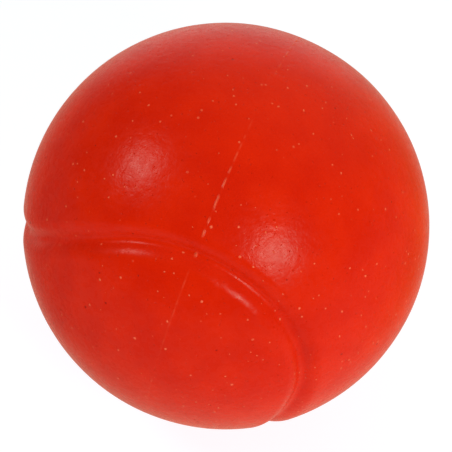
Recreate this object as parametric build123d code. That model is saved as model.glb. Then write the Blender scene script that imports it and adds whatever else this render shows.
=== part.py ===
from build123d import *
from build123d.topology import SkipClean

import math
import os
from dataclasses import dataclass

# Inflatable moulded rubber dodgeball, in millimetres.
# The origin is the centre of the ball, +Z is up, and the valve points along +Y.

# Layers, from the outside in
BALL_DIAMETER = 152.0
COVER_WALL = 3.4
WINDING_WALL = 0.8
BLADDER_WALL = 0.8
BOND_LINE = 0.05  # cement line left between two bonded layers

# Seam between the two cover panels: four round lobes joined by four straight runs
SEAM_RUN_LENGTH = 48.6  # one straight run, along the ball's surface
SEAM_TURN = 40.4  # degrees that the waist of the upper panel leans from +Z towards +X

# Groove moulded along the seam
SEAM_FLOOR = 0.5  # cover left under the bottom of the groove
GROOVE_WALL_ANGLE = 38.0  # degrees between a groove wall and the ball's surface
GROOVE_ROOT_RADIUS = 2.6
GROOVE_SHOULDER_RADIUS = 7.0
SHOULDER_RUN_OUT = 5.0  # degrees at which the rounded shoulder meets the ball's surface

# Flash left by the joint of the mould, a thin raised line round the ball
FLASH_HEIGHT = 0.3
FLASH_WIDTH = 0.9
FLASH_CREST = 0.35  # width of its top
FLASH_ROOT = 0.8  # depth that it reaches into the cover
FLASH_TURN = 10.6  # degrees that its plane is turned about +Y from the plane of Y and Z
FLASH_TRIM_DIAMETER = 22.0  # round patch at the valve where the flash is trimmed off

# Valve core, a rubber plug that an inflating needle goes through
HEAD_DIAMETER = 8.6
HEAD_THICKNESS = 1.3
HEAD_RECESS = 0.25  # depth of the head below the ball's surface
HEAD_GAP = 0.2  # round the head, in the cover
STEM_DIAMETER = 6.0
STEM_TAIL = 1.2  # length of stem past the end of the housing
STEM_TIP_RADIUS = 1.0
NEEDLE_HOLE_DIAMETER = 2.2
NEEDLE_HOLE_DEPTH = 14.0
LEAD_IN_DIAMETER = 3.6
LEAD_IN_DEPTH = 0.7
STEM_CLEARANCE = 0.05  # round the stem, in the housing that guides it
STEM_GAP = 0.3  # round the stem, in the layers that it only passes through

# Valve housing inside the bladder, and the patch outside it
FLANGE_DIAMETER = 28.0
FLANGE_WALL = 1.4
BOSS_DIAMETER = 12.0
BOSS_LENGTH = 13.0
BOSS_FILLET = 1.5
PATCH_DIAMETER = 36.0
PATCH_WALL = 0.4

# Spare length of the cutting shapes past what they cut
SPARE = 3.0

# Radii of the layers
BALL_RADIUS = BALL_DIAMETER / 2
COVER_INNER = BALL_RADIUS - COVER_WALL
WINDING_OUTER = COVER_INNER - BOND_LINE
WINDING_INNER = WINDING_OUTER - WINDING_WALL
BLADDER_OUTER = WINDING_INNER - BOND_LINE
BLADDER_INNER = BLADDER_OUTER - BLADDER_WALL
HOUSING_OUTER = BLADDER_INNER - BOND_LINE

# Heights along the valve axis
HEAD_TOP = BALL_RADIUS - HEAD_RECESS
HEAD_SEAT = HEAD_TOP - HEAD_THICKNESS
BOSS_TOP = HOUSING_OUTER - FLANGE_WALL
BOSS_END = BOSS_TOP - BOSS_LENGTH
STEM_END = BOSS_END - STEM_TAIL

# The seam as angles at the centre: half a run and a lobe's radius in radians, half a lobe's arc in degrees
HALF_RUN = SEAM_RUN_LENGTH / 2 / BALL_RADIUS
LOBE_ANGLE = math.acos(1 / (math.sqrt(2) * math.cos(HALF_RUN)))
LOBE_HALF_ARC = math.degrees(math.atan2(math.sin(LOBE_ANGLE), math.sqrt(math.cos(2 * LOBE_ANGLE))))
QUARTER = 90.0
HALF_TURN = 180.0

# Directions from the centre: the valve, the upper panel's waist, and square to both
CENTRE = Vector(0, 0, 0)
VALVE_AXIS = Vector(0, 1, 0)
WAIST = Vector(0, 0, 1).rotate(Axis(CENTRE, VALVE_AXIS), SEAM_TURN)
SIDE = VALVE_AXIS.cross(WAIST)
# Half a turn about this axis carries one panel onto the other
PANEL_SWAP = Axis(CENTRE, VALVE_AXIS + SIDE)
FLAT_TOLERANCE = 1e-6


@dataclass
class SeamPiece:
    """One stretch of the seam: a point on the unit ball, turned through an angle about an axis."""

    axis: Vector
    start: Vector
    angle: float

    def section_plane(self):
        """Plane across the seam at its start, with local x across it and local y straight out."""
        across = (self.axis - self.start * self.axis.dot(self.start)).normalized()
        return Plane(origin=CENTRE, x_dir=across, z_dir=across.cross(self.start))

    def revolved(self, section):
        """Solid that a section, drawn in the section plane, makes along this stretch."""
        return revolve(self.section_plane() * section, Axis(CENTRE, self.axis), self.angle)

    def cut_face(self, inner, outer):
        """Radial face along this stretch, between two distances from the centre."""
        edge = Edge.make_line(self.start * inner, self.start * outer)
        return Face.revolve(edge, self.angle, Axis(CENTRE, self.axis))


@dataclass
class GrooveOutline:
    """Corners of one side of the groove's section, with x across the groove and y from the ball's centre."""

    bottom: Vector
    wall_low: Vector
    wall_high: Vector
    shoulder_mid: Vector
    crest: Vector


def groove_outline():
    """Works out the groove's rounded bottom, straight wall and rounded shoulder."""
    angle = math.radians(GROOVE_WALL_ANGLE)
    along = Vector(math.cos(angle), math.sin(angle))
    out = Vector(-math.sin(angle), math.cos(angle))
    bottom = Vector(0, COVER_INNER + SEAM_FLOOR)
    wall_low = bottom + Vector(0, GROOVE_ROOT_RADIUS) - out * GROOVE_ROOT_RADIUS
    # The shoulder's circle touches the wall, and crosses the ball's surface at the run-out angle
    reach_squared = (
        BALL_RADIUS**2
        + GROOVE_SHOULDER_RADIUS**2
        - 2 * BALL_RADIUS * GROOVE_SHOULDER_RADIUS * math.cos(math.radians(SHOULDER_RUN_OUT))
    )
    foot = wall_low - out * GROOVE_SHOULDER_RADIUS
    rise = foot.dot(along)
    wall_length = math.sqrt(rise**2 + reach_squared - foot.dot(foot)) - rise
    shoulder = foot + along * wall_length
    crest_way = shoulder.normalized()
    return GrooveOutline(
        bottom=bottom,
        wall_low=wall_low,
        wall_high=wall_low + along * wall_length,
        shoulder_mid=shoulder + (out + crest_way).normalized() * GROOVE_SHOULDER_RADIUS,
        crest=shoulder + crest_way * GROOVE_SHOULDER_RADIUS,
    )


def mirrored(point):
    """The same point on the other side of the groove."""
    return Vector(-point.X, point.Y)


def groove_section():
    """Section that the groove takes away, open above the ball's surface."""
    side = groove_outline()
    top = side.crest.normalized() * (BALL_RADIUS + SPARE)
    edges = [
        Edge.make_three_point_arc(mirrored(side.wall_low), side.bottom, side.wall_low),
        Edge.make_line(side.wall_low, side.wall_high),
        Edge.make_three_point_arc(side.wall_high, side.shoulder_mid, side.crest),
        Edge.make_line(side.crest, top),
        Edge.make_line(top, mirrored(top)),
        Edge.make_line(mirrored(top), mirrored(side.crest)),
        Edge.make_three_point_arc(
            mirrored(side.crest), mirrored(side.shoulder_mid), mirrored(side.wall_high)
        ),
        Edge.make_line(mirrored(side.wall_high), mirrored(side.wall_low)),
    ]
    return Face(Wire(edges))


def valve_rod(diameter, low, high):
    """Round rod on the valve axis, between two heights."""
    plane = Plane(origin=VALVE_AXIS * low, z_dir=VALVE_AXIS)
    return plane * Cylinder(diameter / 2, high - low, align=(Align.CENTER, Align.CENTER, Align.MIN))


def hollow_ball(outer, inner):
    """Round shell between two radii."""
    return Sphere(outer) - Sphere(inner)


def stem_hole():
    """What the stem's passage takes out of every layer."""
    return valve_rod(STEM_DIAMETER + 2 * STEM_GAP, STEM_END, BALL_RADIUS + SPARE)


def seam_lobe():
    """The stretch of seam round the lobe at the valve."""
    apex = VALVE_AXIS * math.cos(LOBE_ANGLE) + WAIST * math.sin(LOBE_ANGLE)
    start = apex.rotate(Axis(CENTRE, VALVE_AXIS), -LOBE_HALF_ARC)
    return SeamPiece(VALVE_AXIS, start, 2 * LOBE_HALF_ARC)


def seam_run(towards):
    """The straight stretch of seam from the lobe at the valve to the next lobe, on one side."""
    pole = (VALVE_AXIS - towards) * math.sin(LOBE_ANGLE) - WAIST * math.sqrt(math.cos(2 * LOBE_ANGLE))
    middle = (VALVE_AXIS + towards).normalized()
    half_run = math.degrees(HALF_RUN)
    return SeamPiece(pole, middle.rotate(Axis(CENTRE, pole), -half_run), 2 * half_run)


def cover_quarter():
    """Grooved quarter of the cover about the waist axis, with the valve's lobe in its middle."""
    corner = VALVE_AXIS.rotate(Axis(CENTRE, WAIST), -QUARTER / 2)
    plane = Plane(origin=CENTRE, x_dir=WAIST, z_dir=WAIST.cross(corner))
    edges = [
        Edge.make_three_point_arc((BALL_RADIUS, 0), (0, BALL_RADIUS), (-BALL_RADIUS, 0)),
        Edge.make_line((-BALL_RADIUS, 0), (-COVER_INNER, 0)),
        Edge.make_three_point_arc((-COVER_INNER, 0), (0, COVER_INNER), (COVER_INNER, 0)),
        Edge.make_line((COVER_INNER, 0), (BALL_RADIUS, 0)),
    ]
    quarter = revolve(plane * Face(Wire(edges)), Axis(CENTRE, WAIST), QUARTER)
    section = groove_section()
    seam = [seam_run(SIDE * -1), seam_lobe(), seam_run(SIDE)]
    for piece in seam:
        quarter -= piece.revolved(section)
    cuts = [piece.cut_face(COVER_INNER - SPARE, BALL_RADIUS + SPARE) for piece in seam]
    return quarter.split(Shell(cuts), keep=Keep.ALL)


def plain_panel():
    """One cover panel, sewn from quarters: a lobe, a waist, the other lobe and the waist's far side."""
    waist_piece, lobe_piece = cover_quarter().sort_by(SortBy.VOLUME)
    half = [lobe_piece, waist_piece.rotate(PANEL_SWAP, HALF_TURN)]
    pieces = half + [piece.rotate(Axis(CENTRE, WAIST), HALF_TURN) for piece in half]
    faces = []
    for piece in pieces:
        for face in piece.faces():
            square = abs(face.normal_at(face.center()).dot(WAIST)) < FLAT_TOLERANCE
            # The flat faces along the waist axis are where the quarters meet inside the panel
            if not (face.geom_type == GeomType.PLANE and square):
                faces.append(face)
    return Solid(Shell(faces))


def flash_arc(start, end):
    """Raised line where the mould's halves met, between two angles from the valve."""
    turn = math.radians(FLASH_TURN)
    normal = Vector(math.cos(turn), 0, -math.sin(turn))
    flare = (FLASH_WIDTH - FLASH_CREST) / 2 / FLASH_HEIGHT
    half_crest = FLASH_CREST / 2
    half_root = FLASH_WIDTH / 2 + flare * FLASH_ROOT
    top = BALL_RADIUS + FLASH_HEIGHT
    root = BALL_RADIUS - FLASH_ROOT
    corners = [(-half_root, root), (half_root, root), (half_crest, top), (-half_crest, top)]
    section = make_face(Polyline(*corners, close=True))
    way = VALVE_AXIS.rotate(Axis(CENTRE, normal), start)
    plane = Plane(origin=CENTRE, x_dir=normal, z_dir=normal.cross(way))
    return revolve(plane * section, Axis(CENTRE, normal), end - start)


def cover_panels():
    """The upper and the lower cover panel, alike but for the flash and the valve hole."""
    outline = groove_outline()
    half_groove = math.degrees(math.atan2(outline.crest.X, outline.crest.Y))
    lobe_edge = math.degrees(LOBE_ANGLE)
    trim = math.degrees(math.asin(FLASH_TRIM_DIAMETER / 2 / BALL_RADIUS))
    lower = plain_panel()
    upper = lower.rotate(PANEL_SWAP, HALF_TURN)
    # A panel's round faces meet at a point on its waist, so they stay as sewn and aren't merged
    with SkipClean():
        upper += flash_arc(lobe_edge + half_groove, HALF_TURN - lobe_edge - half_groove)
        lower += flash_arc(trim, lobe_edge - half_groove)
        lower += flash_arc(HALF_TURN - lobe_edge + half_groove, 2 * HALF_TURN - trim)
        lower -= stem_hole()
        lower -= valve_rod(HEAD_DIAMETER + 2 * HEAD_GAP, HEAD_SEAT, BALL_RADIUS + SPARE)
    return upper, lower


def winding_layer():
    """Thread layer wound over the bladder, thinner over the valve patch."""
    pocket = Sphere(WINDING_INNER + PATCH_WALL + BOND_LINE)
    pocket &= valve_rod(PATCH_DIAMETER + 2 * BOND_LINE, 0, BALL_RADIUS)
    return hollow_ball(WINDING_OUTER, WINDING_INNER) - pocket - stem_hole()


def bladder():
    """Air bladder with its valve hole."""
    return hollow_ball(BLADDER_OUTER, BLADDER_INNER) - stem_hole()


def valve_patch():
    """Reinforcing disc on the outside of the bladder, round the valve."""
    cap = hollow_ball(WINDING_INNER + PATCH_WALL, WINDING_INNER)
    return (cap & valve_rod(PATCH_DIAMETER, 0, BALL_RADIUS)) - stem_hole()


def valve_housing():
    """Flanged rubber boss inside the bladder, bored for the valve core."""
    flange = hollow_ball(HOUSING_OUTER, BOSS_TOP) & valve_rod(FLANGE_DIAMETER, 0, BALL_RADIUS)
    boss = valve_rod(BOSS_DIAMETER, BOSS_END, BALL_RADIUS) & Sphere(HOUSING_OUTER)
    body = flange + boss
    corner = body.edges().filter_by(GeomType.CIRCLE).filter_by(
        lambda edge: abs(edge.radius - BOSS_DIAMETER / 2) < BOND_LINE
    ).sort_by(Axis(CENTRE, VALVE_AXIS))[-1]
    body = fillet(corner, BOSS_FILLET)
    return body - valve_rod(STEM_DIAMETER + 2 * STEM_CLEARANCE, STEM_END, BALL_RADIUS)


def valve_core():
    """Self-sealing plug: flush head, stem, and a blind channel for the inflating needle."""
    head = valve_rod(HEAD_DIAMETER, HEAD_SEAT, BALL_RADIUS) & Sphere(HEAD_TOP)
    stem = valve_rod(STEM_DIAMETER, STEM_END, HEAD_SEAT)
    tip = stem.edges().sort_by(Axis(CENTRE, VALVE_AXIS))[0]
    plug = head + fillet(tip, STEM_TIP_RADIUS)
    channel = valve_rod(NEEDLE_HOLE_DIAMETER, HEAD_TOP - NEEDLE_HOLE_DEPTH, BALL_RADIUS)
    lead_in = Plane(origin=VALVE_AXIS * (HEAD_TOP - LEAD_IN_DEPTH), z_dir=VALVE_AXIS) * Cone(
        NEEDLE_HOLE_DIAMETER / 2,
        LEAD_IN_DIAMETER / 2,
        LEAD_IN_DEPTH,
        align=(Align.CENTER, Align.CENTER, Align.MIN),
    )
    return plug - channel - lead_in


def main():
    upper, lower = cover_panels()
    nodes = {
        "upper_cover_panel": upper,
        "lower_cover_panel": lower,
        "winding_layer": winding_layer(),
        "bladder": bladder(),
        "valve_patch": valve_patch(),
        "valve_housing": valve_housing(),
        "valve_core": valve_core(),
    }
    os.makedirs("parts", exist_ok=True)
    for name, shape in nodes.items():
        export_step(shape, f"parts/{name}.step")


main()
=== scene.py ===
"""Dresses a moulded rubber dodgeball: two grooved cover panels, the valve plug and the layers inside."""

import logging
import math
from dataclasses import dataclass
from enum import Enum
from typing import ClassVar

import bpy
import numpy as np
from bpy.types import Material, Mesh, Node, NodeSocket, NodeTree, Object
from mathutils import Matrix, Vector, noise


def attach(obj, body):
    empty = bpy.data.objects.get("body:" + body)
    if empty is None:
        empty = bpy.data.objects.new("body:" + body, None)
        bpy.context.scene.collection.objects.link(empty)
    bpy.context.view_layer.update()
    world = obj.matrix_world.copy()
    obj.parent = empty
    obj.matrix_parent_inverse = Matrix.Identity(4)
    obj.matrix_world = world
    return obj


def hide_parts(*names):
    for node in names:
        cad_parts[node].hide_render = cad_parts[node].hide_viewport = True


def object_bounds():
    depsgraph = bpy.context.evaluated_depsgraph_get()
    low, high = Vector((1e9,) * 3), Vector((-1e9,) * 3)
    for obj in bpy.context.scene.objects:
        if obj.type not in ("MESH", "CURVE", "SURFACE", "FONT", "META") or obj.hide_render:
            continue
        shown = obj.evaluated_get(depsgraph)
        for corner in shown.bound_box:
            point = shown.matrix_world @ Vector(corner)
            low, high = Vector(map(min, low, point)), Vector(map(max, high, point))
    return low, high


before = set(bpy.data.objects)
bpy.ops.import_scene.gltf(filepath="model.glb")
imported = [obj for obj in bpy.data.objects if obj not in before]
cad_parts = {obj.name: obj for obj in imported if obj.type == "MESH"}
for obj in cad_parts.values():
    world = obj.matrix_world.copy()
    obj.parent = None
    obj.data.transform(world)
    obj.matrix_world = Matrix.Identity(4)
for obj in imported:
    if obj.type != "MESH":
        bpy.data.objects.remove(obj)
cad_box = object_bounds()

Section = list[tuple[float, float]]  # points of a section: a distance across, and a height

MM = 0.001  # metres in a millimetre
VALVE_AXIS = Vector((0.0, 1.0, 0.0))
UP = Vector((0.0, 0.0, 1.0))
TOP, SIDE, BOTTOM = 0.0, 90.0, 180.0  # degrees round an arc, as arc_points measures them
WAVE_BAND = math.pi / 10  # width of one band of a wave texture at scale 1
MIX_A, MIX_B, MIX_RESULT = 6, 7, 2  # places of the colour sockets on a Mix node
log = logging.getLogger("dodgeball")


def linear(hex_colour: str) -> tuple[float, float, float, float]:
    """Turns an sRGB hex colour into a linear one.

    Args:
        hex_colour: Colour such as "#DA250E".

    Returns:
        Linear red, green and blue, and a full alpha.
    """
    shares = [int(hex_colour[k : k + 2], 16) / 255 for k in (1, 3, 5)]
    red, green, blue = [s / 12.92 if s <= 0.04045 else ((s + 0.055) / 1.055) ** 2.4 for s in shares]
    return red, green, blue, 1.0


def add_node(
    tree: NodeTree, kind: str, inputs: dict[str | int, object] | None = None, **settings: object
) -> Node:
    """Adds one shader node with its settings, values and links.

    Args:
        tree: Node tree that the node goes into.
        kind: Type of node, without the words that every shader node's type starts with.
        inputs: Value, or output socket to link, for each input by name or place.
        settings: Properties of the node itself.

    Returns:
        The new node.
    """
    node = tree.nodes.new("ShaderNode" + kind)
    for name, value in settings.items():
        setattr(node, name, value)
    for name, value in (inputs or {}).items():
        if isinstance(value, NodeSocket):
            tree.links.new(value, node.inputs[name])
        else:
            node.inputs[name].default_value = value
    return node


def new_material(name: str) -> Material:
    """Starts a material with an empty node tree.

    Args:
        name: Name of the material.

    Returns:
        The material, which still needs its nodes and its output.
    """
    material = bpy.data.materials.new(name)
    material.use_nodes = True
    material.node_tree.nodes.clear()
    return material


def dress(obj: Object, material: Material) -> None:
    """Gives an object one material all over."""
    obj.data.materials.clear()
    obj.data.materials.append(material)


def read_points(mesh: Mesh) -> np.ndarray:
    """Reads the places of a mesh's points.

    Args:
        mesh: Mesh to read.

    Returns:
        One row of x, y and z for each point.
    """
    flat = np.zeros(len(mesh.vertices) * 3)
    mesh.vertices.foreach_get("co", flat)
    return flat.reshape(-1, 3)


def write_points(mesh: Mesh, points: np.ndarray) -> None:
    """Moves a mesh's points to new places."""
    mesh.vertices.foreach_set("co", points.ravel())
    mesh.update()


def select_only(obj: Object) -> None:
    """Selects one object alone and makes it the active one.

    Args:
        obj: Object that the next operators act on.
    """
    bpy.ops.object.select_all(action="DESELECT")
    bpy.context.view_layer.objects.active = obj
    obj.select_set(True)


def select_faces(obj: Object, chosen: np.ndarray) -> None:
    """Enters edit mode with only the chosen faces selected.

    Args:
        obj: Object to edit, which is the active one.
        chosen: True for each face that is selected.
    """
    mesh = obj.data
    mesh.vertices.foreach_set("select", np.zeros(len(mesh.vertices), bool))
    mesh.edges.foreach_set("select", np.zeros(len(mesh.edges), bool))
    mesh.polygons.foreach_set("select", chosen)
    bpy.context.tool_settings.mesh_select_mode = (False, False, True)
    bpy.ops.object.mode_set(mode="EDIT")


def arc_points(
    centre: tuple[float, float], radius: float, start: float, end: float, steps: int
) -> Section:
    """Points along a round corner of a section.

    Args:
        centre: Middle of the arc.
        radius: Radius of the arc.
        start: First angle from the section's second axis towards its first, in degrees.
        end: Last angle.
        steps: Number of pieces that the arc is divided into.

    Returns:
        Points of the arc, both ends included.
    """
    angles = np.radians(np.linspace(start, end, steps + 1))
    return [(centre[0] + radius * math.sin(a), centre[1] + radius * math.cos(a)) for a in angles]


class Panel(Enum):
    """The two cover panels, by the CAD node that each stands for."""

    UPPER = "upper_cover_panel"
    LOWER = "lower_cover_panel"


class Lane(Enum):
    """Rows of the noise, one for each way in which the flash is uneven."""

    STRAY = 3.7
    LENGTH = 9.1
    BITE = 5.3


@dataclass(frozen=True)
class CoverSizes:
    """Sizes that the two panels share."""

    radius: float = 76.0 * MM
    wall: float = 3.4 * MM
    run_length: float = 48.6 * MM  # one straight run of the seam, along the surface
    seam_turn: float = 40.4  # degrees that the upper panel's waist leans from +Z towards +X

    @property
    def inner(self) -> float:
        """Radius of the cover's inner wall."""
        return self.radius - self.wall

    @property
    def half_run(self) -> float:
        """Half a straight run of the seam, as an angle at the centre."""
        return self.run_length / 2 / self.radius

    @property
    def lobe_reach(self) -> float:
        """Angle at the centre from the middle of a lobe to the seam round it."""
        return math.acos(1 / (math.sqrt(2) * math.cos(self.half_run)))

    @property
    def upper_waist(self) -> Vector:
        """Direction of the middle of the upper panel."""
        return Matrix.Rotation(math.radians(self.seam_turn), 3, VALVE_AXIS) @ UP


@dataclass(frozen=True)
class SeamStretch:
    """Part of a circle on the unit ball, swept about an axis on the panel's side of the seam."""

    axis: Vector
    middle: Vector
    half_angle: float

    @property
    def length(self) -> float:
        """Length of the stretch along the unit ball."""
        return 2 * self.half_angle * self.middle.cross(self.axis).length

    def at(self, share: float) -> tuple[Vector, Vector]:
        """Finds a place on the seam: its direction from the centre, and the way into the panel there."""
        point = Matrix.Rotation((2 * share - 1) * self.half_angle, 3, self.axis) @ self.middle
        return point, (self.axis - point * self.axis.dot(point)).normalized()


@dataclass(frozen=True)
class Seam:
    """The closed seam round one panel: four lobes joined by four straight runs."""

    sizes: CoverSizes
    lobe: Vector  # middle of the panel's first lobe
    waist: Vector  # middle of the panel

    def stretches(self) -> list[SeamStretch]:
        """Works out the circles that the seam follows.

        Returns:
            The seam's stretches in order, from the start of the first lobe.
        """
        reach = self.sizes.lobe_reach
        lean = math.sqrt(math.cos(2 * reach))
        half_arc = math.atan2(math.sin(reach), lean)
        side = self.waist.cross(self.lobe)
        centres = [self.lobe, side, -self.lobe, -side]
        found = []
        for place, centre in enumerate(centres):
            after = centres[(place + 1) % len(centres)]
            own = place % 2 == 0  # the other lobes belong to the panel across the seam
            inwards = 1 if own else -1
            apex = centre * math.cos(reach) - self.waist * inwards * math.sin(reach)
            pole = (centre - after) * inwards * math.sin(reach) + self.waist * lean
            found.append(SeamStretch(centre * inwards, apex, half_arc))
            found.append(SeamStretch(pole, (centre + after).normalized(), self.sizes.half_run))
        return found

    def stations(self, count: int) -> tuple[np.ndarray, np.ndarray]:
        """Divides the seam evenly, from the apex of the first lobe.

        Args:
            count: Number of places along the whole seam.

        Returns:
            Directions of the places, and the ways from them into the panel.
        """
        stretches = self.stretches()
        ends = np.cumsum([s.length for s in stretches])
        starts = ends - [s.length for s in stretches]
        points, ways = [], []
        for k in range(count):
            along = (stretches[0].length / 2 + ends[-1] * k / count) % ends[-1]
            found = int(np.searchsorted(ends, along, side="right"))
            stretch = stretches[found]
            point, way = stretch.at((along - starts[found]) / stretch.length)
            points.append(point)
            ways.append(way)
        return np.array(points), np.array(ways)


@dataclass(frozen=True)
class Groove:
    """Moulded V groove along the seam, with a round root and rounded shoulders."""

    sizes: CoverSizes
    floor: float = 0.5 * MM  # cover left under the bottom of the groove
    wall_angle: float = 38.0  # degrees from the ball's surface
    root_radius: float = 2.6 * MM
    shoulder_radius: float = 7.0 * MM
    run_out: float = 5.0  # degrees at which the shoulder meets the ball's surface
    margin: float = 3.2 * MM  # plain surface kept beside the shoulder for its edge loops
    root_steps: int = 5
    wall_steps: int = 3
    shoulder_steps: int = 10
    margin_steps: int = 4

    @property
    def bottom(self) -> float:
        """Radius of the bottom of the groove."""
        return self.sizes.inner + self.floor

    def section(self) -> Section:
        """One side of the groove, from the plain surface down to its bottom.

        Returns:
            Points as the distance across from the seam, and the height from the ball's centre.
        """
        angle = math.radians(self.wall_angle)
        along = Vector((math.cos(angle), math.sin(angle)))
        out = Vector((-math.sin(angle), math.cos(angle)))
        ball, rounding = self.sizes.radius, self.shoulder_radius
        root_centre = Vector((0.0, self.bottom + self.root_radius))
        foot = root_centre - out * (self.root_radius + rounding)
        reach_squared = ball**2 + rounding**2 - 2 * ball * rounding * math.cos(math.radians(self.run_out))
        rise = foot.dot(along)
        wall_length = math.sqrt(rise**2 + reach_squared - foot.length_squared) - rise
        shoulder = foot + along * wall_length
        lean = math.atan2(shoulder.x, shoulder.y)
        cosine = (ball**2 - shoulder.length_squared - rounding**2) / (2 * shoulder.length * rounding)
        crest_angle = math.degrees(lean - math.acos(cosine))
        rounded = arc_points(tuple(shoulder), rounding, crest_angle, -self.wall_angle, self.shoulder_steps)
        crest = math.degrees(math.atan2(*rounded[0]))
        rim = crest + math.degrees(self.margin / ball)
        plain = arc_points((0.0, 0.0), ball, rim, crest, self.margin_steps)
        root_start = BOTTOM - self.wall_angle
        root = arc_points(tuple(root_centre), self.root_radius, root_start, BOTTOM, self.root_steps)
        wall = np.linspace(rounded[-1], root[0], self.wall_steps + 1)
        return plain[:-1] + rounded[:-1] + [tuple(p) for p in wall[:-1]] + root


@dataclass(frozen=True)
class Flash:
    """Thin raised line that the joint of the mould left round the ball, broken where it wore off."""

    LABEL: ClassVar[str] = "flash"  # attribute that marks how much of it stands

    sizes: CoverSizes
    height: float = 0.3 * MM
    width: float = 0.95 * MM
    crest: float = 0.25 * MM  # width of its top
    flank_loops: int = 4  # edge loops down each flank
    outer_loop: float = 1.6  # place of the edge loop beside it, in half widths
    turn: float = 10.6  # degrees that its plane is turned about +Y from the plane of Y and Z
    trim: float = 11.0 * MM  # radius of the patch at the valve where it is trimmed off
    pitch: float = 5.2 * MM  # usual distance from one dash to the next
    drift: float = 5.0 * MM  # how far the dashes stray from even spacing
    dash: float = 2.7 * MM  # usual length of one dash
    dash_spread: float = 1.2  # how much the lengths differ, as a share
    dash_end: float = 0.45 * MM  # length in which a dash runs out
    bite: float = 0.85  # usual share of the height that stands in a dash
    bite_spread: float = 0.9  # how much that share differs along a dash
    link: float = 0.03  # share of the height left between two dashes
    strong_reach: float = 26.0 * MM  # length beside the seam where it stands highest
    fade: float = 30.0 * MM  # length past that in which it wears off
    worn: float = 0.04  # share of its height left far from the seam
    lobe_share: float = 0.3  # share of its height on the lobes of the lower panel
    lobe_link: float = 0.3  # share of that left between two dashes there
    shoulder_drop: float = 0.25 * MM  # depth below the ball's surface where it runs out into the groove
    burr_height: float = 0.3 * MM  # stub left at the bottom of the groove
    burr_reach: float = 0.25 * MM  # how far up the groove's sides the stub reaches
    burr_width: float = 1.5 * MM

    @property
    def normal(self) -> Vector:
        """Direction square to the plane of the flash."""
        turn = math.radians(self.turn)
        return Vector((math.cos(turn), 0.0, -math.sin(turn)))

    def lines(self) -> list[float]:
        """Places of the edge loops that the flash needs in the cover.

        Returns:
            Distances from the plane of the flash.
        """
        half_crest, half_width = self.crest / 2, self.width / 2
        side = [*np.linspace(half_crest, half_width, self.flank_loops), self.outer_loop * half_width]
        return [-x for x in reversed(side)] + [0.0] + side

    def profile(self, across: np.ndarray) -> np.ndarray:
        """Shape of the flash across its width.

        Args:
            across: Distances from the plane of the flash.

        Returns:
            Share of the full height at each distance.
        """
        half_crest, half_width = self.crest / 2, self.width / 2
        share = np.clip((half_width - np.abs(across)) / (half_width - half_crest), 0, 1)
        return share * share * (3 - 2 * share)

    def wander(self, along: float, length: float, lane: Lane) -> float:
        """Uneven value along the flash, from -1 to 1, that changes within the given length."""
        return noise.noise(Vector((along / length, lane.value, 0.0)))

    def standing(self, along: float) -> float:
        """Height that the flash has at one place round the ball.

        Args:
            along: Distance round the ball from the valve.

        Returns:
            Height there, which is least between two dashes.
        """
        half_round = math.pi * self.sizes.radius
        seam = self.sizes.lobe_reach * self.sizes.radius
        from_pole = min(abs(along), half_round - abs(along))
        gap = abs(from_pole - seam)
        if along < 0:
            gap = self.strong_reach + min(half_round + along, -along)
        strength = max(self.worn, min(1.0, 1 - (gap - self.strong_reach) / self.fade))
        stray = self.drift * self.wander(along, 2 * self.pitch, Lane.STRAY)
        length = self.dash * (1 + self.dash_spread * self.wander(along, self.pitch, Lane.LENGTH))
        bite = self.bite + self.bite_spread * self.wander(along, 2 * self.dash_end, Lane.BITE)
        beat = abs((along + stray) % self.pitch - self.pitch / 2)
        dash = min(1.0, max(self.link, bite * min(1.0, (length / 2 - beat) / self.dash_end)))
        if from_pole < seam:
            strength *= self.lobe_share
            dash = max(dash, self.lobe_link)
        return self.height * strength * dash

    def rise(self, points: np.ndarray, bottom: float) -> np.ndarray:
        """Height that the flash adds to points of the cover.

        Args:
            points: Points of the cover's outer surface.
            bottom: Radius of the bottom of the seam groove.

        Returns:
            Distance that each point moves outwards.
        """
        normal = np.array(self.normal)
        upright = np.cross(normal, np.array(VALVE_AXIS))
        across = points @ normal
        share = self.profile(across)
        stub = np.clip(1 - np.abs(across) / (self.burr_width / 2), 0, 1)
        added = np.zeros(len(points))
        radii = np.linalg.norm(points, axis=1)
        for k in np.nonzero((share > 0) | (stub > 0))[0]:
            valve_way = points[k] @ np.array(VALVE_AXIS)
            along = math.atan2(points[k] @ upright, valve_way) * self.sizes.radius
            depth = self.sizes.radius - radii[k]
            kept = min(1.0, max(0.0, 1 - depth / self.shoulder_drop))
            kept *= min(1.0, max(0.0, (abs(along) - self.trim) / self.dash_end))
            burr = max(0.0, 1 - (radii[k] - bottom) / self.burr_reach)
            added[k] = share[k] * self.standing(along) * kept + self.burr_height * stub[k] * burr
        return added


@dataclass(frozen=True)
class Cloud:
    """Cloudy noise of one size."""

    size: float
    detail: float  # finer layers of noise over the first one


@dataclass(frozen=True)
class Spots:
    """Small round spots of uneven size, scattered over a surface."""

    CORE: ClassVar[float] = 0.5  # share of a spot's radius inside which it is full

    cell: float  # usual distance between two spots
    radius: float  # radius of the largest ones
    height: float  # how far they stand out, or in where it is below nothing

    def mask(self, tree: NodeTree, place: NodeSocket) -> NodeSocket:
        """Scatters the spots.

        Args:
            tree: Node tree of the material.
            place: Coordinates.

        Returns:
            Socket that is 1 in a spot and 0 outside it.
        """
        cells = add_node(tree, "TexVoronoi", {"Vector": place, "Scale": 1 / self.cell}, feature="F1")
        scaled = {0: cells.outputs["Color"], 1: self.radius / self.cell}
        size = add_node(tree, "Math", scaled, operation="MULTIPLY").outputs[0]
        core = add_node(tree, "Math", {0: size, 1: self.CORE}, operation="MULTIPLY").outputs[0]
        limits = {"Value": cells.outputs["Distance"], "From Min": size, "From Max": core}
        return add_node(tree, "MapRange", limits, interpolation_type="SMOOTHSTEP").outputs["Result"]


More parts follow.
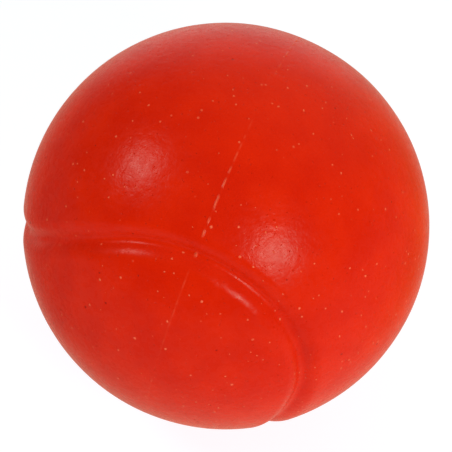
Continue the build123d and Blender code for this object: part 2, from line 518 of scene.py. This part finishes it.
@dataclass(frozen=True)
class MouldedRubber:
    """Vulcanised natural rubber, moulded in polished steel: satin, with small pits and pale specks of
    mould dust, whose colour is partly a painted glint.
    """

    # To the eye: a nearly even warm red, a soft round gloss, and specks and pits that break it up.
    body: str = "#EC2402"
    deep: str = "#E31E01"  # the darker clouds in it
    # Pale colour of the specks and the flash: partly mould dust, partly a painted glint.
    dust_and_glint: str = "#FF6A4A"
    shadow: str = "#BC1502"  # inside the pits
    bloom: str = "#FFB488"
    ior: float = 1.2  # rubber has about 1.52; matched lower, because the dusty skin reflects less
    roughness: tuple[float, float] = (0.22, 0.34)  # polished and dull places; plain rubber has about 0.4
    polish_range: tuple[float, float] = (0.3, 0.7)  # noise at which it is polished, and dull
    sheen: float = 0.06  # pale bloom at the edges
    sheen_roughness: float = 0.45
    mottle: Cloud = Cloud(14.0 * MM, 4.0)  # cloudy colour left by the mixing of the rubber
    mottle_range: tuple[float, float] = (0.35, 0.65)  # noise at which it is deep, and plain
    blush: Cloud = Cloud(2.6 * MM, 3.0)  # uneven polish
    blush_depth: float = 0.15 * MM
    grain: Cloud = Cloud(0.9 * MM, 2.0)  # drawn coarser than the real 0.2 mm, so that it shows
    grain_depth: float = 0.045 * MM
    wander: Cloud = Cloud(0.9 * MM, 1.0)  # unevenness of the edges of specks and pits
    ragged: float = 0.5 * MM  # how far those edges wander
    flash_tint: float = 0.7  # share of the pale dust colour on the flash, partly a painted highlight along its ridge
    specks: Spots = Spots(3.2 * MM, 0.72 * MM, 0.10 * MM)
    speck_drift: Cloud = Cloud(24.0 * MM, 1.0)  # patches where the specks gather
    speck_lean: tuple[float, float, float] = (1.3, -0.9, 0.4)  # side that has more of them, per metre
    speck_range: tuple[float, float] = (0.4, 0.54)  # noise at which there are none, and all
    pores: Spots = Spots(2.0 * MM, 0.5 * MM, -0.15 * MM)
    pits: Spots = Spots(7.5 * MM, 0.8 * MM, -0.10 * MM)

    def material(self) -> Material:
        """Builds the finish of the cover: warm red with bright specks, dark pits and a soft gloss.

        Returns:
            The material, which reads the flash from the cover's own attribute.
        """
        material = new_material("moulded_natural_rubber")
        tree = material.node_tree
        place = add_node(tree, "TexCoord").outputs["Object"]
        clouds = {
            cloud: add_node(
                tree, "TexNoise", {"Vector": place, "Scale": 1 / cloud.size, "Detail": cloud.detail}
            ).outputs
            for cloud in (self.mottle, self.blush, self.grain, self.wander, self.speck_drift)
        }
        mottle, blush, grain = [clouds[cloud]["Fac"] for cloud in (self.mottle, self.blush, self.grain)]
        edges = {0: clouds[self.wander]["Color"], 1: (self.ragged,) * 3, 2: place}
        ragged = add_node(tree, "VectorMath", edges, operation="MULTIPLY_ADD").outputs["Vector"]
        leaning = {0: place, 1: self.speck_lean}
        lean = add_node(tree, "VectorMath", leaning, operation="DOT_PRODUCT").outputs["Value"]
        drift = {0: clouds[self.speck_drift]["Fac"], 1: lean}
        spread = add_node(tree, "Math", drift, operation="ADD").outputs[0]
        few, many = self.speck_range
        gathering = {"Value": spread, "From Min": few, "From Max": many}
        gathered = add_node(tree, "MapRange", gathering).outputs["Result"]
        every_speck = self.specks.mask(tree, ragged)
        specks = add_node(tree, "Math", {0: every_speck, 1: gathered}, operation="MULTIPLY").outputs[0]
        pores = self.pores.mask(tree, place)
        pits = self.pits.mask(tree, ragged)
        flash = add_node(tree, "Attribute", attribute_name=Flash.LABEL).outputs["Fac"]
        tinted = add_node(tree, "Math", {0: flash, 1: self.flash_tint}, operation="MULTIPLY").outputs[0]
        pale = add_node(tree, "Math", {0: specks, 1: tinted}, operation="MAXIMUM").outputs[0]
        deep, plain = self.mottle_range
        mixing = {"Value": mottle, "From Min": deep, "From Max": plain}
        mixed = add_node(tree, "MapRange", mixing).outputs["Result"]
        colour: NodeSocket | tuple[float, ...] = linear(self.deep)
        # The specks and the flash take the pale colour, partly a painted glint; the pits take a painted
        # shade.
        for share, over in ((mixed, self.body), (pale, self.dust_and_glint), (pits, self.shadow)):
            layer = {"Factor": share, MIX_A: colour, MIX_B: linear(over)}
            colour = add_node(tree, "Mix", layer, data_type="RGBA").outputs[MIX_RESULT]
        polished, dull = self.polish_range
        low, high = self.roughness
        polish = {"Value": blush, "From Min": polished, "From Max": dull, "To Min": low, "To Max": high}
        roughness = add_node(tree, "MapRange", polish).outputs["Result"]
        relief: NodeSocket | float = 0.0
        for marks, height in (
            (blush, self.blush_depth),
            (grain, self.grain_depth),
            (specks, self.specks.height),
            (pores, self.pores.height),
            (pits, self.pits.height),
        ):
            raised = {0: marks, 1: height, 2: relief}
            relief = add_node(tree, "Math", raised, operation="MULTIPLY_ADD").outputs[0]
        # The relief is in metres already, so the bump takes it as it is.
        bump = add_node(tree, "Bump", {"Strength": 1.0, "Distance": 1.0, "Height": relief})
        look = {
            "Base Color": colour,
            "Roughness": roughness,
            "IOR": self.ior,
            "Normal": bump.outputs["Normal"],
            "Sheen Weight": self.sheen,
            "Sheen Roughness": self.sheen_roughness,
            "Sheen Tint": linear(self.bloom),
        }
        shader = add_node(tree, "BsdfPrincipled", look)
        add_node(tree, "OutputMaterial", {"Surface": shader.outputs[0]})
        return material


@dataclass(frozen=True)
class DullFinish:
    """A dull skin between two colours, with a fine relief. Each kind draws its own pattern."""

    name: str
    shade: str
    pale: str
    ior: float
    roughness: float
    depth: float  # height of the relief

    def pattern(self, tree: NodeTree, place: NodeSocket) -> tuple[NodeSocket, NodeSocket]:
        """Draws how pale the skin is at each place, and how high it stands, both from 0 to 1."""
        raise NotImplementedError

    def material(self) -> Material:
        """Builds the finish from its pattern.

        Returns:
            The material.
        """
        material = new_material(self.name)
        tree = material.node_tree
        share, height = self.pattern(tree, add_node(tree, "TexCoord").outputs["Object"])
        tones = {"Factor": share, MIX_A: linear(self.shade), MIX_B: linear(self.pale)}
        colour = add_node(tree, "Mix", tones, data_type="RGBA").outputs[MIX_RESULT]
        bump = add_node(tree, "Bump", {"Strength": 1.0, "Distance": self.depth, "Height": height})
        look = {
            "Base Color": colour,
            "Roughness": self.roughness,
            "IOR": self.ior,
            "Normal": bump.outputs["Normal"],
        }
        shader = add_node(tree, "BsdfPrincipled", look)
        add_node(tree, "OutputMaterial", {"Surface": shader.outputs[0]})
        return material


@dataclass(frozen=True)
class ThreadWinding(DullFinish):
    """Undyed nylon thread wound in every direction and soaked in latex: cream, ridged, dull."""

    # To the eye: pale ridges that cross each other, with darker gaps and no gloss.
    name: str = "latex_soaked_nylon_thread"
    shade: str = "#B7A57C"
    pale: str = "#E9DFC4"
    ior: float = 1.5  # nylon has about 1.53
    roughness: float = 0.7
    depth: float = 0.15 * MM
    spacing: float = 1.4 * MM  # drawn coarser than the real 0.4 mm, so that it shows
    stray: float = 1.5  # how unevenly the thread lies
    stray_detail: float = 2.0
    turns: tuple[tuple[float, float, float], ...] = ((0.3, 0.2, 0.0), (1.2, 0.7, 0.4), (0.6, 1.3, 2.1))

    def pattern(self, tree: NodeTree, place: NodeSocket) -> tuple[NodeSocket, NodeSocket]:
        """Crosses bands of thread, the highest of which shows at each place.

        Args:
            tree: Node tree of the material.
            place: Coordinates.

        Returns:
            Paleness and height, which go together.
        """
        height: NodeSocket | float = 0.0
        for turn in self.turns:
            bands = {
                "Vector": add_node(tree, "Mapping", {"Vector": place, "Rotation": turn}).outputs["Vector"],
                "Scale": WAVE_BAND / self.spacing,
                "Distortion": self.stray,
                "Detail": self.stray_detail,
            }
            threads = add_node(tree, "TexWave", bands, wave_type="BANDS", wave_profile="SIN")
            highest = {0: height, 1: threads.outputs["Fac"]}
            height = add_node(tree, "Math", highest, operation="MAXIMUM").outputs[0]
        return height, height


@dataclass(frozen=True)
class BlackRubber(DullFinish):
    """Moulded butyl rubber: near black, dull, with a bloom of talc or wax in cloudy patches."""

    # To the eye: a dark dull skin that turns greyer where the bloom has come out.
    shade: str = "#1E1D1C"
    pale: str = "#4A4743"
    ior: float = 1.52
    roughness: float = 0.55
    depth: float = 0.015 * MM
    bloom: Cloud = Cloud(9.0 * MM, 5.0)
    bloom_range: tuple[float, float] = (0.45, 0.8)  # noise at which there is no bloom, and full bloom
    grain: Cloud = Cloud(0.5 * MM, 2.0)  # drawn coarser than the real 0.1 mm, so that it shows

    def pattern(self, tree: NodeTree, place: NodeSocket) -> tuple[NodeSocket, NodeSocket]:
        """Spreads the bloom in clouds over a fine grain.

        Args:
            tree: Node tree of the material.
            place: Coordinates.

        Returns:
            Share of bloom, and height of the grain.
        """
        bloom, grain = [
            add_node(
                tree, "TexNoise", {"Vector": place, "Scale": 1 / cloud.size, "Detail": cloud.detail}
            ).outputs["Fac"]
            for cloud in (self.bloom, self.grain)
        ]
        bare, full = self.bloom_range
        share = add_node(tree, "MapRange", {"Value": bloom, "From Min": bare, "From Max": full})
        return share.outputs["Result"], grain


@dataclass(frozen=True)
class RubberisedCloth(DullFinish):
    """Cotton duck spread with rubber: tan, in a plain weave that shows through."""

    # To the eye: a dull tan weave with dark gaps between its threads.
    name: str = "rubberised_cotton_duck"
    shade: str = "#7A6340"
    pale: str = "#C2A677"
    ior: float = 1.5  # cotton and rubber have about 1.53
    roughness: float = 0.8
    depth: float = 0.08 * MM
    thread: float = 0.7 * MM  # drawn coarser than the real 0.4 mm, so that it shows

    def pattern(self, tree: NodeTree, place: NodeSocket) -> tuple[NodeSocket, NodeSocket]:
        """Crosses two sets of threads at right angles.

        Args:
            tree: Node tree of the material.
            place: Coordinates.

        Returns:
            Paleness and height, which go together.
        """
        bands = {"Vector": place, "Scale": WAVE_BAND / self.thread}
        warp, weft = [
            add_node(tree, "TexWave", bands, wave_type="BANDS", bands_direction=way).outputs["Fac"]
            for way in ("X", "Z")
        ]
        weave = add_node(tree, "Math", {0: warp, 1: weft}, operation="MULTIPLY").outputs[0]
        return weave, weave


@dataclass(frozen=True)
class FloorPaper:
    """White studio paper with light coming through it."""

    # To the eye: an even white with the faintest of shadows on it, and no gloss.
    colour: str = "#8A8C8F"  # what it gives back of the lamps' light
    glow: float = 3.25
    roughness: float = 0.9

    def material(self) -> Material:
        """Builds the paper.

        Returns:
            The material.
        """
        material = new_material("pale_floor")
        look = {
            "Base Color": linear(self.colour),
            "Roughness": self.roughness,
            "Emission Color": linear(self.colour),
            "Emission Strength": self.glow,
        }
        shader = add_node(material.node_tree, "BsdfPrincipled", look)
        add_node(material.node_tree, "OutputMaterial", {"Surface": shader.outputs[0]})
        return material


@dataclass(frozen=True)
class Lathe:
    """A round piece turned about the valve axis."""

    name: str
    section: Section  # distance from the axis, and height along it
    steps: int = 72
    merge: float = 0.002 * MM

    def build(self) -> Object:
        """Draws the section point by point and spins it about the axis.

        Returns:
            The turned piece, closed and facing outwards.
        """
        bpy.ops.object.select_all(action="DESELECT")
        bpy.ops.mesh.primitive_plane_add()
        obj = bpy.context.object
        obj.name = self.name
        bpy.ops.object.mode_set(mode="EDIT")
        bpy.ops.mesh.select_mode(type="VERT")
        bpy.ops.mesh.select_all(action="SELECT")
        bpy.ops.mesh.merge(type="CENTER")
        here = Vector((0.0, 0.0, 0.0))
        for place, (out, height) in enumerate(self.section):
            there = Vector((out, height, 0.0))
            if place == 0:
                bpy.ops.transform.translate(value=there)
            else:
                bpy.ops.mesh.extrude_vertices_move(TRANSFORM_OT_translate={"value": there - here})
            here = there
        bpy.ops.mesh.select_all(action="SELECT")
        bpy.ops.mesh.spin(steps=self.steps, angle=2 * math.pi, center=(0, 0, 0), axis=VALVE_AXIS)
        bpy.ops.mesh.select_all(action="SELECT")
        bpy.ops.mesh.remove_doubles(threshold=self.merge)
        bpy.ops.mesh.normals_make_consistent(inside=False)
        bpy.ops.object.mode_set(mode="OBJECT")
        return obj


@dataclass
class ValvePlug:
    """Self-sealing valve core: a flush head with a needle mouth, on a stem that the housing grips."""

    sizes: CoverSizes
    head_radius: float = 4.3 * MM
    head_thickness: float = 1.3 * MM
    head_recess: float = 0.25 * MM
    head_gap: float = 0.2 * MM
    head_edge: float = 0.3 * MM  # rounding of the head's rim
    stem_radius: float = 3.0 * MM
    stem_end: float = 55.25 * MM
    stem_tip: float = 1.0 * MM
    stem_gap: float = 0.3 * MM
    needle_radius: float = 1.1 * MM
    needle_depth: float = 14.0 * MM
    mouth_radius: float = 1.8 * MM
    mouth_depth: float = 0.7 * MM
    mouth_lean: float = 60.0  # degrees that the edge of the mouth turns down
    lip: float = 0.45 * MM  # rounding of the cover's edge round the head
    spare: float = 3.0 * MM  # length of the cutter past the cover
    corner_steps: int = 5
    crown_steps: int = 6
    crease: float = 40.0  # degrees past which an edge stays sharp
    finish: BlackRubber = BlackRubber("moulded_black_valve_rubber", pale="#33312F", roughness=0.42)

    @property
    def head_top(self) -> float:
        """Height of the top of the head, at the valve axis."""
        return self.sizes.radius - self.head_recess

    @property
    def head_seat(self) -> float:
        """Height of the underside of the head."""
        return self.head_top - self.head_thickness

    def section(self) -> Section:
        """Half of the plug's section.

        Returns:
            Points from the tip of the stem round to the bottom of the needle channel.
        """
        tip_centre = (self.stem_radius - self.stem_tip, self.stem_end + self.stem_tip)
        tip = arc_points(tip_centre, self.stem_tip, BOTTOM, SIDE, self.corner_steps)
        flat = self.head_radius - self.head_edge
        shoulder = math.sqrt(self.head_top**2 - flat**2)
        rim = arc_points((flat, shoulder - self.head_edge), self.head_edge, SIDE, TOP, self.corner_steps)
        mouth_edge = self.mouth_radius + self.head_edge
        crown_start, crown_end = [math.degrees(math.asin(x / self.head_top)) for x in (flat, mouth_edge)]
        crown = arc_points((0.0, 0.0), self.head_top, crown_start, crown_end, self.crown_steps)
        mouth_centre = (mouth_edge, crown[-1][1] - self.head_edge)
        mouth = arc_points(mouth_centre, self.head_edge, TOP, -self.mouth_lean, self.corner_steps)
        throat = self.head_top - self.mouth_depth
        floor = self.head_top - self.needle_depth
        return (
            [(0.0, self.stem_end)]
            + tip
            + [(self.stem_radius, self.head_seat), (self.head_radius, self.head_seat)]
            + rim
            + crown[1:]
            + mouth[1:]
            + [(self.needle_radius, throat), (self.needle_radius, floor), (0.0, floor)]
        )

    def build(self) -> Object:
        """Turns the plug, shades it and lets it move with the valve core.

        Returns:
            The finished plug.
        """
        plug = Lathe("valve_plug", self.section()).build()
        bpy.ops.object.shade_smooth_by_angle(angle=math.radians(self.crease))
        dress(plug, self.finish.material())
        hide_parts("valve_core")
        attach(plug, "valve_core")
        return plug

    def seat_cutter(self) -> Object:
        """Turns the shape that the plug's hole takes out of the cover, with a rounded lip.

        Returns:
            The closed shape, which is deleted after its cut.
        """
        hole = self.stem_radius + self.stem_gap
        pocket = self.head_radius + self.head_gap
        edge = math.sqrt(self.sizes.radius**2 - pocket**2)
        lip = arc_points((pocket + self.lip, edge - self.lip), self.lip, -SIDE, TOP, self.corner_steps)
        top = self.sizes.radius + self.spare
        low = self.sizes.inner - self.spare
        section = (
            [(0.0, low), (hole, low), (hole, self.head_seat), (pocket, self.head_seat)]
            + lip
            + [(pocket + self.lip, top), (0.0, top)]
        )
        return Lathe("valve_seat_cutter", section).build()


@dataclass
class CoverPanel:
    """One moulded panel of the cover, with its side of the seam groove and its stretch of flash."""

    panel: Panel
    sizes: CoverSizes
    groove: Groove
    flash: Flash
    columns: int = 96  # faces across the panel; an eighth of the seam's stations
    sweeps: int = 500  # rounds in which the grid spreads out evenly
    over: float = 1.9  # over-relaxation of each sweep
    inner_steps: int = 4
    merge: float = 0.02 * MM
    cut_reach: float = 2.0 * MM  # faces this near to a line of the flash are cut by it
    swell: float = 0.07 * MM  # unevenness of the moulded surface
    swell_length: float = 24.0 * MM
    crease: float = 55.0  # degrees past which an edge stays sharp

    @property
    def rows(self) -> int:
        """Faces along the panel, from the end of one lobe to the end of the other."""
        return 3 * self.columns

    @property
    def stations(self) -> int:
        """Places along the seam round the panel."""
        return 8 * self.columns

    @property
    def outer_limit(self) -> float:
        """Radius between the cover's inner wall and the bottom of the groove."""
        return self.sizes.inner + self.groove.floor / 2

    def seam(self) -> Seam:
        """Finds which way round the seam runs.

        Returns:
            The seam with this panel on its inner side.
        """
        waist = self.sizes.upper_waist
        if self.panel is Panel.UPPER:
            return Seam(self.sizes, VALVE_AXIS.cross(waist), waist)
        return Seam(self.sizes, VALVE_AXIS, -waist)

    def build(self) -> Object:
        """Models the panel: a grid and edge loops down the groove, closed by an inner wall.

        Returns:
            The panel, not yet dressed.
        """
        obj = self.lay_grid()
        self.run_loops(obj)
        self.place_points(obj)
        self.close(obj)
        self.cut_flash_lines(obj)
        self.raise_surface(obj)
        return obj

    def lay_grid(self) -> Object:
        """Adds the plain middle of the panel, and labels its rim with the stations of the seam.

        Returns:
            The flat grid.
        """
        bpy.ops.object.select_all(action="DESELECT")
        bpy.ops.mesh.primitive_grid_add(x_subdivisions=self.columns, y_subdivisions=self.rows, size=2.0)
        obj = bpy.context.object
        obj.name = self.panel.value.replace("cover", "moulded")
        points = read_points(obj.data)
        column = np.rint((points[:, 0] + 1) / 2 * self.columns).astype(int)
        row = np.rint((points[:, 1] + 1) / 2 * self.rows).astype(int)
        half = self.columns // 2
        station = np.full(len(points), -1, np.int32)
        station[column == 0] = (-half - row[column == 0]) % self.stations
        station[column == self.columns] = half + row[column == self.columns]
        station[row == 0] = (column[row == 0] - half) % self.stations
        far = self.stations // 2 + half
        station[row == self.rows] = far - column[row == self.rows]
        label = obj.data.attributes.new("station", "INT", "POINT")
        label.data.foreach_set("value", station)
        return obj

    def run_loops(self, obj: Object) -> None:
        """Extrudes the rim down the groove, then copies the grid as the inner wall and extrudes that.

        Args:
            obj: The panel's grid.
        """
        grid_faces = len(obj.data.polygons)
        bpy.ops.object.mode_set(mode="EDIT")
        bpy.ops.mesh.select_mode(type="EDGE")
        bpy.ops.mesh.select_all(action="SELECT")
        bpy.ops.mesh.region_to_loop()
        for _ in range(len(self.groove.section())):
            bpy.ops.mesh.extrude_edges_move()
        bpy.ops.object.mode_set(mode="OBJECT")
        select_faces(obj, np.arange(len(obj.data.polygons)) < grid_faces)
        bpy.ops.mesh.duplicate()
        bpy.ops.mesh.region_to_loop()
        for _ in range(self.inner_steps):
            bpy.ops.mesh.extrude_edges_move()
        bpy.ops.object.mode_set(mode="OBJECT")

    def place_points(self, obj: Object) -> None:
        """Moves every point of the flat grid and its loops to its place on the ball.

        Args:
            obj: The panel, still flat.
        """
        seam_way, inward = self.seam().stations(self.stations)
        section = self.groove.section()
        rim_turn = math.atan2(*section[0])
        rim = seam_way * math.cos(rim_turn) + inward * math.sin(rim_turn)
        grid = self.spread(rim).reshape(-1, 3)
        station = np.zeros(len(obj.data.vertices), np.int32)
        obj.data.attributes["station"].data.foreach_get("value", station)
        points = np.zeros((len(station), 3))
        outer_loops = section[1:] + [(0.0, self.sizes.inner)]
        turns = np.linspace(rim_turn, 0, self.inner_steps + 1)[1:]
        inner_loops = [(self.sizes.inner * math.sin(t), self.sizes.inner * math.cos(t)) for t in turns]
        start = 0
        for radius, loops in ((self.sizes.radius, outer_loops), (self.sizes.inner, inner_loops)):
            points[start : start + len(grid)] = grid * radius
            start += len(grid)
            for across, out in loops:
                block = slice(start, start + self.stations)
                here = station[block]
                points[block] = seam_way[here] * out + inward[here] * across
                start += self.stations
        write_points(obj.data, points)

    def spread(self, rim: np.ndarray) -> np.ndarray:
        """Spreads the grid evenly over the ball inside its rim.

        Args:
            rim: Directions of the rim, by station.

        Returns:
            Directions of the grid's points, by row and column.
        """
        half = self.columns // 2
        row = np.arange(self.rows + 1)
        column = np.arange(self.columns + 1)
        left = rim[(-half - row) % self.stations]
        right = rim[half + row]
        angle = np.arccos(np.clip(np.sum(left * right, axis=1), -1, 1))[:, None]
        share = (column / self.columns)[None, :]
        weights = np.stack([np.sin((1 - share) * angle), np.sin(share * angle)]) / np.sin(angle)
        grid = weights[0][..., None] * left[:, None] + weights[1][..., None] * right[:, None]
        grid[0] = rim[(column - half) % self.stations]
        grid[-1] = rim[self.stations // 2 + half - column]
        inside = grid[1:-1, 1:-1]
        odd = (np.add.outer(row[1:-1], column[1:-1]) % 2).astype(bool)
        for _ in range(self.sweeps):
            for chosen in (odd, ~odd):
                mean = (grid[:-2, 1:-1] + grid[2:, 1:-1] + grid[1:-1, :-2] + grid[1:-1, 2:]) / 4
                inside[chosen] += self.over * (mean - inside)[chosen]
            inside /= np.linalg.norm(inside, axis=-1, keepdims=True)
        return grid

    def close(self, obj: Object) -> None:
        """Welds the groove's wall to the inner wall and turns every face outwards.

        Args:
            obj: The panel, with its points in place.
        """
        bpy.ops.object.mode_set(mode="EDIT")
        bpy.ops.mesh.select_all(action="SELECT")
        bpy.ops.mesh.remove_doubles(threshold=self.merge)
        bpy.ops.mesh.normals_make_consistent(inside=False)
        bpy.ops.object.mode_set(mode="OBJECT")
        obj.data.attributes.remove(obj.data.attributes["station"])

    def cut_flash_lines(self, obj: Object) -> None:
        """Cuts edge loops along the flash into the outer surface.

        Args:
            obj: The closed panel.
        """
        normal = self.flash.normal
        for distance in self.flash.lines():
            centres = np.zeros(len(obj.data.polygons) * 3)
            obj.data.polygons.foreach_get("center", centres)
            centres = centres.reshape(-1, 3)
            near = np.abs(centres @ np.array(normal) - distance) < self.cut_reach
            outside = np.linalg.norm(centres, axis=1) > self.outer_limit
            select_faces(obj, near & outside)
            bpy.ops.mesh.bisect(plane_co=normal * distance, plane_no=normal)
            bpy.ops.object.mode_set(mode="OBJECT")

    def raise_surface(self, obj: Object) -> None:
        """Raises the flash and the slight swell of the moulded surface.

        Args:
            obj: The closed panel.
        """
        points = read_points(obj.data)
        radii = np.linalg.norm(points, axis=1)
        outside = radii > self.outer_limit
        added = self.flash.rise(points[outside], self.groove.bottom)
        marks = np.zeros(len(points))
        marks[outside] = added / self.flash.height
        label = obj.data.attributes.new(Flash.LABEL, "FLOAT", "POINT")
        label.data.foreach_set("value", marks)
        added += [self.swell * noise.noise(Vector(p) / self.swell_length) for p in points[outside]]
        points[outside] *= (1 + added / radii[outside])[:, None]
        write_points(obj.data, points)

    def drill(self, obj: Object, cutter: Object) -> None:
        """Takes a cutter's shape out of the panel and deletes the cutter.

        Args:
            obj: The closed panel.
            cutter: Closed shape to take out.
        """
        select_only(obj)
        cut = obj.modifiers.new("valve_hole", "BOOLEAN")
        cut.operation = "DIFFERENCE"
        cut.solver = "EXACT"
        cut.object = cutter
        bpy.ops.object.modifier_apply(modifier=cut.name)
        bpy.data.objects.remove(cutter)

    def finish(self, obj: Object, material: Material) -> None:
        """Shades and dresses the panel, and puts it in the place of its CAD node.

        Args:
            obj: The modelled panel.
            material: Finish of the cover.
        """
        select_only(obj)
        bpy.ops.object.shade_smooth_by_angle(angle=math.radians(self.crease))
        dress(obj, material)
        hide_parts(self.panel.value)
        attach(obj, "ball")


@dataclass
class InnerLayers:
    """The pieces under the cover, which keep their CAD shapes."""

    winding: ThreadWinding = ThreadWinding()
    bladder: BlackRubber = BlackRubber("moulded_butyl_rubber", pale="#6B665F", bloom=Cloud(16.0 * MM, 5.0))
    housing: BlackRubber = BlackRubber("moulded_housing_rubber")
    patch: RubberisedCloth = RubberisedCloth()

    def finish(self) -> None:
        """Gives each layer its finish."""
        finishes = {
            "winding_layer": self.winding,
            "bladder": self.bladder,
            "valve_housing": self.housing,
            "valve_patch": self.patch,
        }
        for node, finish in finishes.items():
            dress(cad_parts[node], finish.material())
            log.info("%s keeps its CAD shape", node)


@dataclass(frozen=True)
class SoftLamp:
    """A round lamp behind a diffuser, aimed at the ball."""

    name: str
    way: tuple[float, float, float]  # direction from the ball
    spread: float  # half its width, as an angle seen from the ball, in degrees
    radiance: float
    colour: str
    distance: float = 900.0 * MM

    def build(self) -> None:
        """Adds the lamp as a disc that gives the set radiance, unseen by the camera."""
        radius = self.distance * math.tan(math.radians(self.spread))
        lamp = bpy.data.lights.new(self.name, "AREA")
        lamp.shape = "DISK"
        lamp.size = 2 * radius
        lamp.energy = self.radiance * math.pi * math.pi * radius**2
        lamp.color = linear(self.colour)[:3]
        obj = bpy.data.objects.new(self.name, lamp)
        bpy.context.scene.collection.objects.link(obj)
        way = Vector(self.way).normalized()
        obj.location = way * self.distance
        obj.rotation_mode = "QUATERNION"
        obj.rotation_quaternion = way.to_track_quat("Z", "Y")
        obj.visible_camera = False


@dataclass(frozen=True)
class WallPatch:
    """A soft-edged stretch of the studio's walls or ground."""

    colour: str
    way: tuple[float, float, float]  # direction of its middle from the ball
    edge: float  # cosine of the angle from its middle at which it starts to show
    full: float  # cosine of the angle at which it has its full colour


@dataclass
class Studio:
    """Camera, pale floor, plain surroundings and two soft lamps."""

    azimuth: float = 20.2
    elevation: float = 49.3
    distance: float = 912.0 * MM
    lens: float = 193.8  # millimetres, on a sensor 36 mm wide
    floor_size: float = 8.0
    paper: FloorPaper = FloorPaper()
    lamps: tuple[SoftLamp, ...] = (
        SoftLamp("right_lamp", (0.645, -0.55, 0.50), spread=8.6, radiance=22.5, colour="#EAFFEC"),
        SoftLamp("left_lamp", (-0.62, -0.22, 0.70), spread=8.4, radiance=15.5, colour="#F4FFF2"),
    )
    overhead: str = "#8E847A"
    # Each patch lies over those before it: ground, back light, back wall, left, right and front.
    patches: tuple[WallPatch, ...] = (
        WallPatch("#D2C2AC", (0.0, 0.0, -1.0), -0.15, 0.2),
        WallPatch("#FFE6BA", (0.25, 0.85, 0.46), 0.55, 0.9),
        WallPatch("#FFF8F0", (-0.35, 0.94, 0.0), 0.8, 0.98),
        WallPatch("#3A3632", (-0.94, -0.35, 0.0), 0.2, 0.85),
        WallPatch("#D88C30", (0.72, 0.6, -0.35), 0.7, 0.95),
        WallPatch("#3C3C3C", (0.2, -0.98, 0.0), 0.3, 0.9),
    )

    def build(self) -> None:
        """Sets up everything that isn't part of the ball."""
        self.place_camera()
        self.lay_floor()
        for lamp in self.lamps:
            lamp.build()
        self.light_surroundings()
        bpy.context.scene.view_settings.view_transform = "Standard"

    def place_camera(self) -> None:
        """Puts the camera at the photograph's viewing angle."""
        turn, lift = math.radians(self.azimuth), math.radians(self.elevation)
        level = math.cos(lift)
        back = Vector((math.sin(turn) * level, -math.cos(turn) * level, math.sin(lift)))
        data = bpy.data.cameras.new("camera")
        data.lens = self.lens
        camera = bpy.data.objects.new("camera", data)
        bpy.context.scene.collection.objects.link(camera)
        camera.location = back * self.distance
        camera.rotation_mode = "QUATERNION"
        camera.rotation_quaternion = (-back).to_track_quat("-Z", "Y")
        bpy.context.scene.camera = camera

    def lay_floor(self) -> None:
        """Lays the floor under the ball's lowest point, left out of the ball's gloss."""
        bpy.ops.object.select_all(action="DESELECT")
        bpy.ops.mesh.primitive_plane_add(size=self.floor_size, location=(0.0, 0.0, cad_box[0].z))
        floor = bpy.context.object
        floor.name = "floor"
        dress(floor, self.paper.material())
        floor.visible_glossy = False

    def light_surroundings(self) -> None:
        """Lights the ball from all round, by the ceiling and by the patches laid over it."""
        world = bpy.data.worlds.new("studio")
        bpy.context.scene.world = world
        world.use_nodes = True
        tree = world.node_tree
        tree.nodes.clear()
        way = add_node(tree, "TexCoord").outputs["Generated"]
        colour: NodeSocket | tuple[float, ...] = linear(self.overhead)
        for patch in self.patches:
            facing = add_node(tree, "VectorMath", {0: way, 1: patch.way}, operation="DOT_PRODUCT")
            limits = {"Value": facing.outputs["Value"], "From Min": patch.edge, "From Max": patch.full}
            share = add_node(tree, "MapRange", limits, interpolation_type="SMOOTHSTEP").outputs["Result"]
            layer = {"Factor": share, MIX_A: colour, MIX_B: linear(patch.colour)}
            colour = add_node(tree, "Mix", layer, data_type="RGBA").outputs[MIX_RESULT]
        background = add_node(tree, "Background", {"Color": colour, "Strength": 1.0})
        add_node(tree, "OutputWorld", {"Surface": background.outputs[0]})


def main() -> None:
    """Builds the ball's pieces, then the studio round it."""
    logging.basicConfig(level=logging.INFO, format="%(name)s: %(message)s")
    sizes = CoverSizes()
    valve = ValvePlug(sizes)
    rubber = MouldedRubber().material()
    for side in Panel:
        panel = CoverPanel(side, sizes, Groove(sizes), Flash(sizes))
        obj = panel.build()
        if side is Panel.LOWER:
            panel.drill(obj, valve.seat_cutter())
        panel.finish(obj, rubber)
        log.info("%s: %d points, %d faces", obj.name, len(obj.data.vertices), len(obj.data.polygons))
    plug = valve.build()
    log.info("%s: %d faces", plug.name, len(plug.data.polygons))
    InnerLayers().finish()
    Studio().build()


if __name__ == "__main__":
    main()
